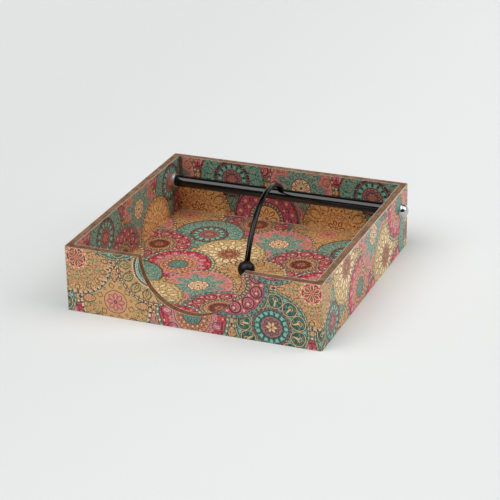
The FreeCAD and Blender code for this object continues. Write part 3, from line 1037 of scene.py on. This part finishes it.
@dataclass(frozen=True)
class RawFibreboard:
    """Medium-density fibreboard, sanded: a matt brown felt of short wood fibres.

    The cutter browns the scoop's edge, and the front wall's rim is tinted darker and browner
    than the other rims. Lengths are millimetres, and the fibres are drawn some three times too
    coarse, so that they show.
    """

    name: str = "fibreboard_sanded"
    tones: tuple[tuple[float, str], ...] = ((0.36, "#553A27"), (0.5, "#805D43"),
                                            (0.64, "#987B60"))
    scoop_tint: tuple[float, float, float] = (0.82, 0.64, 0.4)
    front_tint: tuple[float, float, float] = (0.8, 0.7, 0.62)
    rim_height: float = 49.8
    scoop_wall_y: float = -90.0
    fibre_pitch: float = 0.7
    fleck_pitch: float = 4.0
    fibre_depth: float = 0.1
    fibre_strength: float = 0.6
    roughness: float = 0.85
    ior: float = 1.45

    def build(self) -> Material:
        """Makes the material.

        Returns:
            The material.
        """
        material, add = new_material(self.name)
        spot = add("TexCoord").outputs["Object"]
        fibres = add("TexNoise", {"Vector": spot, "Scale": PER_MM / self.fibre_pitch,
                                  "Detail": 4.0, "Roughness": 0.7})
        flecks = add("TexNoise", {"Vector": spot, "Scale": PER_MM / self.fleck_pitch,
                                  "Detail": 3.0})
        blend = add("Math", (fibres, flecks), operation="ADD")
        share = add("Math", (blend, 0.5), operation="MULTIPLY")
        ramp = add("ValToRGB", (share,))
        stops = ramp.color_ramp.elements
        stops.new(0.5)  # A new ramp has a stop at each end, and this one goes between them.
        for stop, (place, tone) in zip(stops, self.tones):
            stop.position = place
            stop.color = linear(tone)
        _, depth, height = add("SeparateXYZ", (spot,)).outputs
        below = add("Math", (height, self.rim_height * MM), operation="LESS_THAN")
        front = add("Math", (depth, self.scoop_wall_y * MM), operation="LESS_THAN")
        cut = add("Math", (below, front), operation="MULTIPLY")
        # The front wall's rim is tinted darker and browner than the other rims.
        tint = add("Mix", {SHARE: front, VECTOR_A: (1.0, 1.0, 1.0),
                           VECTOR_B: self.front_tint}, data_type="VECTOR")
        tint = add("Mix", {SHARE: cut, VECTOR_A: tint, VECTOR_B: self.scoop_tint},
                   data_type="VECTOR")
        colour = add("VectorMath", (ramp, tint), operation="MULTIPLY")
        bump = add("Bump", {"Strength": self.fibre_strength, "Distance": self.fibre_depth * MM,
                            "Height": fibres})
        shader = add("BsdfPrincipled", {"Base Color": colour, "Roughness": self.roughness,
                                        "IOR": self.ior, "Normal": bump})
        add("OutputMaterial", (shader,))
        return material


@dataclass(frozen=True)
class BlackEnamel:
    """Black enamel on steel, baked hard. Lengths are millimetres.

    It is deep black with a faint orange peel and hand smears. By its roughness it is a mirror
    on the rod, a narrow soft shine on the wire and a satin on the ball.
    """

    name: str
    roughness: float = 0.06
    ior: float = 1.5
    colour: str = "#040405"
    peel_pitch: float = 1.6
    peel_depth: float = 0.01
    peel_strength: float = 0.3
    smear_pitch: float = 14.0
    smear: tuple[float, float] = (0.75, 1.35)

    def build(self) -> Material:
        """Makes the material.

        Returns:
            The material.
        """
        material, add = new_material(self.name)
        spot = add("TexCoord").outputs["Object"]
        peel = add("TexNoise", {"Vector": spot, "Scale": PER_MM / self.peel_pitch,
                                "Detail": 2.0})
        smears = add("TexNoise", {"Vector": spot, "Scale": PER_MM / self.smear_pitch,
                                  "Detail": 4.0})
        rough = add("MapRange", (smears, *NOISE_SPAN,
                                 *(self.roughness * share for share in self.smear)))
        bump = add("Bump", {"Strength": self.peel_strength, "Distance": self.peel_depth * MM,
                            "Height": peel})
        shader = add("BsdfPrincipled", {"Base Color": linear(self.colour), "Roughness": rough,
                                        "IOR": self.ior, "Normal": bump})
        add("OutputMaterial", (shader,))
        return material


@dataclass(frozen=True)
class PlatedSteel:
    """Plated steel: a bright metal under a little haze.

    The haze is some ten times coarser than a polisher's marks, or the render wouldn't show it.
    """

    name: str
    colour: str
    roughness: float
    haze_pitch: float = 0.25
    haze: tuple[float, float] = (0.7, 1.4)

    def build(self) -> Material:
        """Makes the material.

        Returns:
            The material.
        """
        material, add = new_material(self.name)
        haze = add("TexNoise", {"Vector": add("TexCoord").outputs["Object"],
                                "Scale": PER_MM / self.haze_pitch, "Detail": 3.0})
        rough = add("MapRange", (haze, *NOISE_SPAN,
                                 *(self.roughness * share for share in self.haze)))
        shader = add("BsdfPrincipled", {"Base Color": linear(self.colour), "Metallic": 1.0,
                                        "Roughness": rough})
        add("OutputMaterial", (shader,))
        return material


@dataclass(frozen=True)
class Tray:
    """The glued box of boards with its printed papers and nails.

    The flap's sizes are millimetres: its ends and faces are measured from the tray's middle,
    its foot and its top from the table.
    """

    boards: tuple[str, ...] = ("floor_panel", "front_wall", "back_wall", "left_wall",
                               "right_wall")
    nails: tuple[str, ...] = ("corner_brads", "floor_brads")
    # Height of the pale top band on the side wraps: chipped core and a painted highlight.
    worn_and_lit_arris: float = 49.8
    flap_left: float = -91.88
    flap_right: float = -88.85
    flap_front: float = 91.92
    flap_back: float = 92.18
    flap_foot: float = 4.85
    flap_top: float = 34.0
    flap_slope: float = 1.4
    flap_steps: int = 6

    def papers(self) -> dict[str, PrintedPaper]:
        """Gives the paper on each face, by the node it covers.

        Returns:
            The papers.
        """
        return {
            "floor_liner": PrintedPaper.inside(
                "floor", Face.FLAT, (-49.8, 51.8),
                ("FMFM", "STST", "MCMC", "FRFR", "TSTS", "MCMC", "RRFR")),
            "back_liner": PrintedPaper.inside(
                "back", Face.ALONG_X, (-46.3, 36.5), ("RMRM", "STST", "HGHG"), foot_line=5.4),
            "left_liner": PrintedPaper.inside(
                "left", Face.ALONG_Y, (-43.0, 35.0), ("RMRM", "STST", "HMHM")),
            "right_liner": PrintedPaper.inside(
                "right", Face.ALONG_Y, (-30.0, 35.0), ("MRMR", "TSTS", "CMCM")),
            "front_liner": PrintedPaper.inside(
                "scoop_wall", Face.ALONG_X, (-20.0, 35.0), ("RMRM", "TSTS", "FCFC")),
            "front_wrap": PrintedPaper(
                "front", Face.ALONG_X, (1.0, 12.6), ("FSRR", "WRFW", "MPKK", "MSWW"),
                first_row=-1, first_column=-1, quarter_turns=2, scale=1.02,
                lifted=(Figure.TEAL_SCALLOPS, 0, -1)),
            "right_wrap": PrintedPaper(
                "right_side", Face.ALONG_Y, (-76.0, 13.0),
                ("TS", "CF", "RS", "SR", "CM", "RR", "TS"), quarter_turns=1,
                # Brighter, warmer tint on the right face: a painted sheen for the glare on that
                # side.
                worn_and_lit_from=self.worn_and_lit_arris, varnish=(1.18, 1.08, 1.02)),
            "left_wrap": PrintedPaper(
                "left_side", Face.ALONG_Y, (-60.0, 14.0),
                ("TS", "CM", "SR", "FM", "CK", "RT"), quarter_turns=3,
                worn_and_lit_from=self.worn_and_lit_arris),
            "back_wrap": PrintedPaper(
                "back_side", Face.ALONG_X, (-20.0, 14.0), ("RFCR", "TSMT", "MCKM"),
                quarter_turns=2),
            "base_paper": PrintedPaper(
                "base", Face.FLAT, (10.0, 20.0), ("TSTS", "MCMC", "RFRK")),
        }

    def close_corner(self, paper: Material) -> None:
        """Adds the paper flap that closes the lower part of the back left corner.

        The back liner stops short of the corner. Below the rod a turned-in flap of the print
        hides the board, and its top edge slopes as a hand-cut edge does.

        Args:
            paper: The back liner's print.
        """
        rings = []
        for step in range(self.flap_steps + 1):
            share = step / self.flap_steps
            across = self.flap_left + (self.flap_right - self.flap_left) * share
            top = self.flap_top - self.flap_slope * share
            rings.append([(across, self.flap_front, self.flap_foot),
                          (across, self.flap_back, self.flap_foot),
                          (across, self.flap_back, top), (across, self.flap_front, top)])
        flap = make_piece("corner_flap", [rings], paper, smooth=False)
        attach(flap, "root")

    def dress(self, nodes: dict[str, Piece]) -> None:
        """Gives every board, paper and nail its finish, and closes the corner.

        Args:
            nodes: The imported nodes, by name.
        """
        board = RawFibreboard().build()
        for name in self.boards:
            dress_node(nodes[name], board)
        steel = PlatedSteel("bright_steel_wire_nails", "#A9A9AC", 0.35).build()
        for name in self.nails:
            dress_node(nodes[name], steel)
        sheet = MedallionSheet()
        for name, paper in self.papers().items():
            material = paper.build(sheet)
            dress_node(nodes[name], material)
            if name == "back_liner":
                self.close_corner(material)


@dataclass(frozen=True)
class ScrewHeads:
    """The two domed screw heads on the tray's sides, each on a low collar.

    Sizes are millimetres. The dome's own foot stands a hair outside it, where it meets the
    collar, and its last ring is small enough to show as a point.
    """

    axis_y: float
    axis_z: float
    wall_x: float = 97.5
    collar_radius: float = 6.0
    collar_height: float = 0.6
    edge_round: float = 0.15
    dome_radius: float = 5.5
    dome_foot: float = 5.55
    dome_height: float = 4.9
    dome_rings: int = 18
    spokes: int = 72
    tip_radius: float = 0.02

    def profile(self) -> list[tuple[float, float]]:
        """Works out the head's outline.

        Returns:
            The distance from the wall and the radius of each ring.
        """
        steps = [(0.0, self.collar_radius - self.edge_round),
                 (self.edge_round, self.collar_radius),
                 (self.collar_height - self.edge_round, self.collar_radius),
                 (self.collar_height, self.collar_radius - self.edge_round),
                 (self.collar_height, self.dome_foot)]
        for step in range(self.dome_rings + 1):
            angle = FULL_TURN / 4.0 * step / self.dome_rings
            steps.append((self.collar_height + self.dome_height * math.sin(angle),
                          max(self.dome_radius * math.cos(angle), self.tip_radius)))
        return steps

    def build(self, material: Material) -> None:
        """Makes both heads as one piece.

        Args:
            material: Their finish.
        """
        turns = [FULL_TURN * spoke / self.spokes for spoke in range(self.spokes)]
        skins = [[[(side * (self.wall_x + out), self.axis_y + radius * math.cos(turn),
                    self.axis_z + radius * math.sin(turn)) for turn in turns]
                  for out, radius in self.profile()] for side in (1.0, -1.0)]
        heads = make_piece("screw_heads", skins, material)
        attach(heads, "arm")
        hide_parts("axle_screws")


@dataclass(frozen=True)
class WeldBeads:
    """The two fillet welds beside the wire, where it lies on the rod. Sizes are millimetres."""

    axis_y: float
    axis_z: float
    rod_radius: float = 4.5
    wire_x: float = -2.1
    offset: float = 1.95
    seat_degrees: float = 54.4
    sweep_degrees: float = 26.0
    bead_radius: float = 0.85
    ripple: float = 0.09
    ripples: int = 5
    end_swell: float = 0.02
    steps: int = 40
    sides: int = 14

    def bead(self, middle: float) -> list[Ring]:
        """Works out one bead, which follows the rod's surface and thins out at both ends.

        Args:
            middle: The place of the bead's middle along the rod.

        Returns:
            The bead's rings.
        """
        rings = []
        turns = [FULL_TURN * side / self.sides for side in range(self.sides)]
        for step in range(self.steps + 1):
            share = 2.0 * step / self.steps - 1.0
            swell = math.sqrt(max(1.0 - share * share, self.end_swell ** 2))
            wave = self.ripple * math.cos(FULL_TURN * self.ripples * share)
            radius = (self.bead_radius + wave) * swell
            angle = math.radians(self.seat_degrees + self.sweep_degrees * share)
            rings.append([(middle + radius * math.cos(turn),
                           self.axis_y + (self.rod_radius + radius * math.sin(turn))
                           * math.cos(angle),
                           self.axis_z + (self.rod_radius + radius * math.sin(turn))
                           * math.sin(angle)) for turn in turns])
        return rings

    def build(self, material: Material) -> None:
        """Makes both beads as one piece.

        Args:
            material: Their finish.
        """
        skins = [self.bead(self.wire_x + side * self.offset) for side in (1.0, -1.0)]
        beads = make_piece("weld_beads", skins, material)
        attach(beads, "arm")


@dataclass(frozen=True)
class SwingArm:
    """The rod on its two axle screws, with the wire arm and its weight.

    The axis is the rod's, in millimetres behind the tray's middle and above the table.
    """

    axis_y: float = 81.0
    axis_z: float = 34.0

    def dress(self, nodes: dict[str, Piece]) -> None:
        """Gives the arm and its bushes their finishes, and adds the welds and screw heads.

        Args:
            nodes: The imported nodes, by name.
        """
        wire = BlackEnamel("satin_enamel_black_wire", roughness=0.1, ior=1.36).build()
        finishes = {
            "rod": BlackEnamel("stoved_enamel_black_rod", ior=1.54).build(),
            "wire_arm": wire,
            "weight_ball": BlackEnamel("satin_enamel_black_ball", roughness=0.34,
                                       ior=1.38).build(),
            "axle_bushes": PlatedSteel("bright_zinc_on_steel", "#F2F2F4", 0.42).build(),
        }
        for name, material in finishes.items():
            dress_node(nodes[name], material)
        WeldBeads(self.axis_y, self.axis_z).build(wire)
        chrome = PlatedSteel("bright_chrome_on_steel", "#C4C5C8", 0.05).build()
        ScrewHeads(self.axis_y, self.axis_z).build(chrome)


@dataclass(frozen=True)
class StudioFloor:
    """A matt pale sweep of paper under the tray, which rises behind it. Sizes are metres.

    Its colour is a painted shade: a little darker on the left, where less light reaches it.
    """

    colour: str = "#E6E8E7"
    left_painted_shade: float = 0.9
    dim_until: float = -0.34
    bright_from: float = 0.16
    roughness: float = 0.9
    shine: float = 0.1
    flat_radius: float = 4.0
    inner_share: float = 0.5
    curl_radius: float = 2.0
    back_height: float = 3.4
    front_share: float = 0.1
    back_degrees: float = 112.0
    spokes: int = 96
    curl_steps: int = 12

    def rings(self) -> list[Ring]:
        """Works out the sweep's rings of points, from the middle outwards.

        Returns:
            The rings.
        """
        outline = [(self.inner_share * self.flat_radius, 0.0)]
        for step in range(self.curl_steps + 1):
            angle = FULL_TURN / 4.0 * step / self.curl_steps
            outline.append((self.flat_radius + self.curl_radius * math.sin(angle),
                            self.curl_radius * (1.0 - math.cos(angle))))
        outline.append((self.flat_radius + self.curl_radius, self.back_height))
        rings = []
        for radius, height in outline:
            ring = []
            for spoke in range(self.spokes):
                angle = FULL_TURN * spoke / self.spokes
                share = 0.5 + 0.5 * math.cos(angle - math.radians(self.back_degrees))
                rise = self.front_share + (1.0 - self.front_share) * share
                ring.append((radius * math.cos(angle), radius * math.sin(angle),
                             height * rise))
            rings.append(ring)
        return rings

    def paper(self) -> Material:
        """Makes the sweep's material: uncoated paper, with hardly any shine.

        Returns:
            The material.
        """
        material, add = new_material("matt_sweep_paper")
        across = add("SeparateXYZ", (add("TexCoord").outputs["Object"],))
        # Painted shade: the sweep's colour falls off towards the left.
        tone = add("MapRange", (across, self.dim_until, self.bright_from, self.left_painted_shade, 1.0),
                   interpolation_type="SMOOTHSTEP")
        colour = add("VectorMath", {0: linear(self.colour)[:3], "Scale": tone},
                     operation="SCALE")
        shader = add("BsdfPrincipled", {"Base Color": colour, "Roughness": self.roughness,
                                        "Specular IOR Level": self.shine})
        add("OutputMaterial", (shader,))
        return material

    def build(self) -> None:
        """Makes the floor."""
        rings = self.rings()
        points = [(0.0, 0.0, 0.0)] + [point for ring in rings for point in ring]
        nexts = [(spoke, (spoke + 1) % self.spokes) for spoke in range(self.spokes)]
        faces: list[tuple[int, ...]] = [(0, 1 + spoke, 1 + after) for spoke, after in nexts]
        for inner in range(1, len(points) - self.spokes, self.spokes):
            outer = inner + self.spokes
            faces += [(inner + spoke, outer + spoke, outer + after, inner + after)
                      for spoke, after in nexts]
        mesh = bpy.data.meshes.new("studio_floor")
        mesh.from_pydata(points, [], faces)
        mesh.polygons.foreach_set("use_smooth", [True] * len(faces))
        mesh.materials.append(self.paper())
        new_object("studio_floor", mesh)


@dataclass(frozen=True)
class BroadLight:
    """A far lamp behind a wide diffusing cloth, so that it lights the floor evenly."""

    name: str
    azimuth: float
    elevation: float
    spread: float
    strength: float

    def build(self) -> None:
        """Makes the lamp, aimed at the tray."""
        lamp = bpy.data.lights.new(self.name, "SUN")
        lamp.angle = math.radians(self.spread)
        lamp.energy = self.strength
        holder = new_object(self.name, lamp)
        towards = direction(self.azimuth, self.elevation)
        holder.location = towards
        holder.rotation_euler = towards.to_track_quat("Z", "Y").to_euler()


@dataclass(frozen=True)
class Viewpoint:
    """The camera's place, worked out from the tray's corners in the photograph.

    Angles are degrees. The distance and the two slides, along the picture's own right and up,
    are millimetres, and so are the lens and the sensor.
    """

    azimuth: float = 22.2813
    elevation: float = 24.0842
    roll: float = -1.0904
    lens: float = 132.74
    sensor: float = 36.0
    distance: float = 1381.72
    slide_right: float = 4.9182
    slide_up: float = 19.0464
    nearest: float = 50.0
    farthest: float = 50000.0

    def build(self) -> None:
        """Makes the camera and puts it in use."""
        roll = math.radians(self.roll)
        back = direction(self.azimuth, self.elevation)
        level_right = Vector((0.0, 0.0, 1.0)).cross(back).normalized()
        level_up = back.cross(level_right)
        right = math.cos(roll) * level_right + math.sin(roll) * level_up
        up = -math.sin(roll) * level_right + math.cos(roll) * level_up
        place = (right * self.slide_right + up * self.slide_up + back * self.distance) * MM
        lens = bpy.data.cameras.new("viewpoint")
        lens.lens = self.lens
        lens.sensor_width = self.sensor
        lens.clip_start = self.nearest * MM
        lens.clip_end = self.farthest * MM
        camera = new_object("viewpoint", lens)
        axes = Matrix((right, up, back)).transposed()
        camera.matrix_world = Matrix.Translation(place) @ axes.to_4x4()
        bpy.context.scene.camera = camera


@dataclass(frozen=True)
class Studio:
    """The plain studio: floor, surrounding light, lamps and camera."""

    room: str = "#37373A"
    lights: tuple[BroadLight, ...] = (
        BroadLight("key_light", azimuth=-36.0, elevation=57.0, spread=54.0, strength=1.93),
        BroadLight("high_light", azimuth=95.0, elevation=70.0, spread=60.0, strength=1.0),
        BroadLight("right_light", azimuth=105.0, elevation=32.0, spread=50.0, strength=1.0),
    )

    def build(self) -> None:
        """Makes the floor, the lamps, the surrounding light and the camera."""
        StudioFloor().build()
        for light in self.lights:
            light.build()
        world = bpy.data.worlds.new("studio_room")
        world.use_nodes = True
        world.node_tree.nodes.clear()
        add = partial(add_node, world.node_tree)
        background = add("Background", (linear(self.room), 1.0))
        add("OutputWorld", (background,))
        bpy.context.scene.world = world
        Viewpoint().build()
        bpy.context.scene.view_settings.view_transform = "Standard"


def main() -> None:
    """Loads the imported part, dresses it and sets up the studio."""
    logging.basicConfig(level=logging.INFO, format="%(message)s")
    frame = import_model()
    nodes = frame["nodes"]
    Tray().dress(nodes)
    SwingArm().dress(nodes)
    Studio().build()


if __name__ == "__main__":
    main()
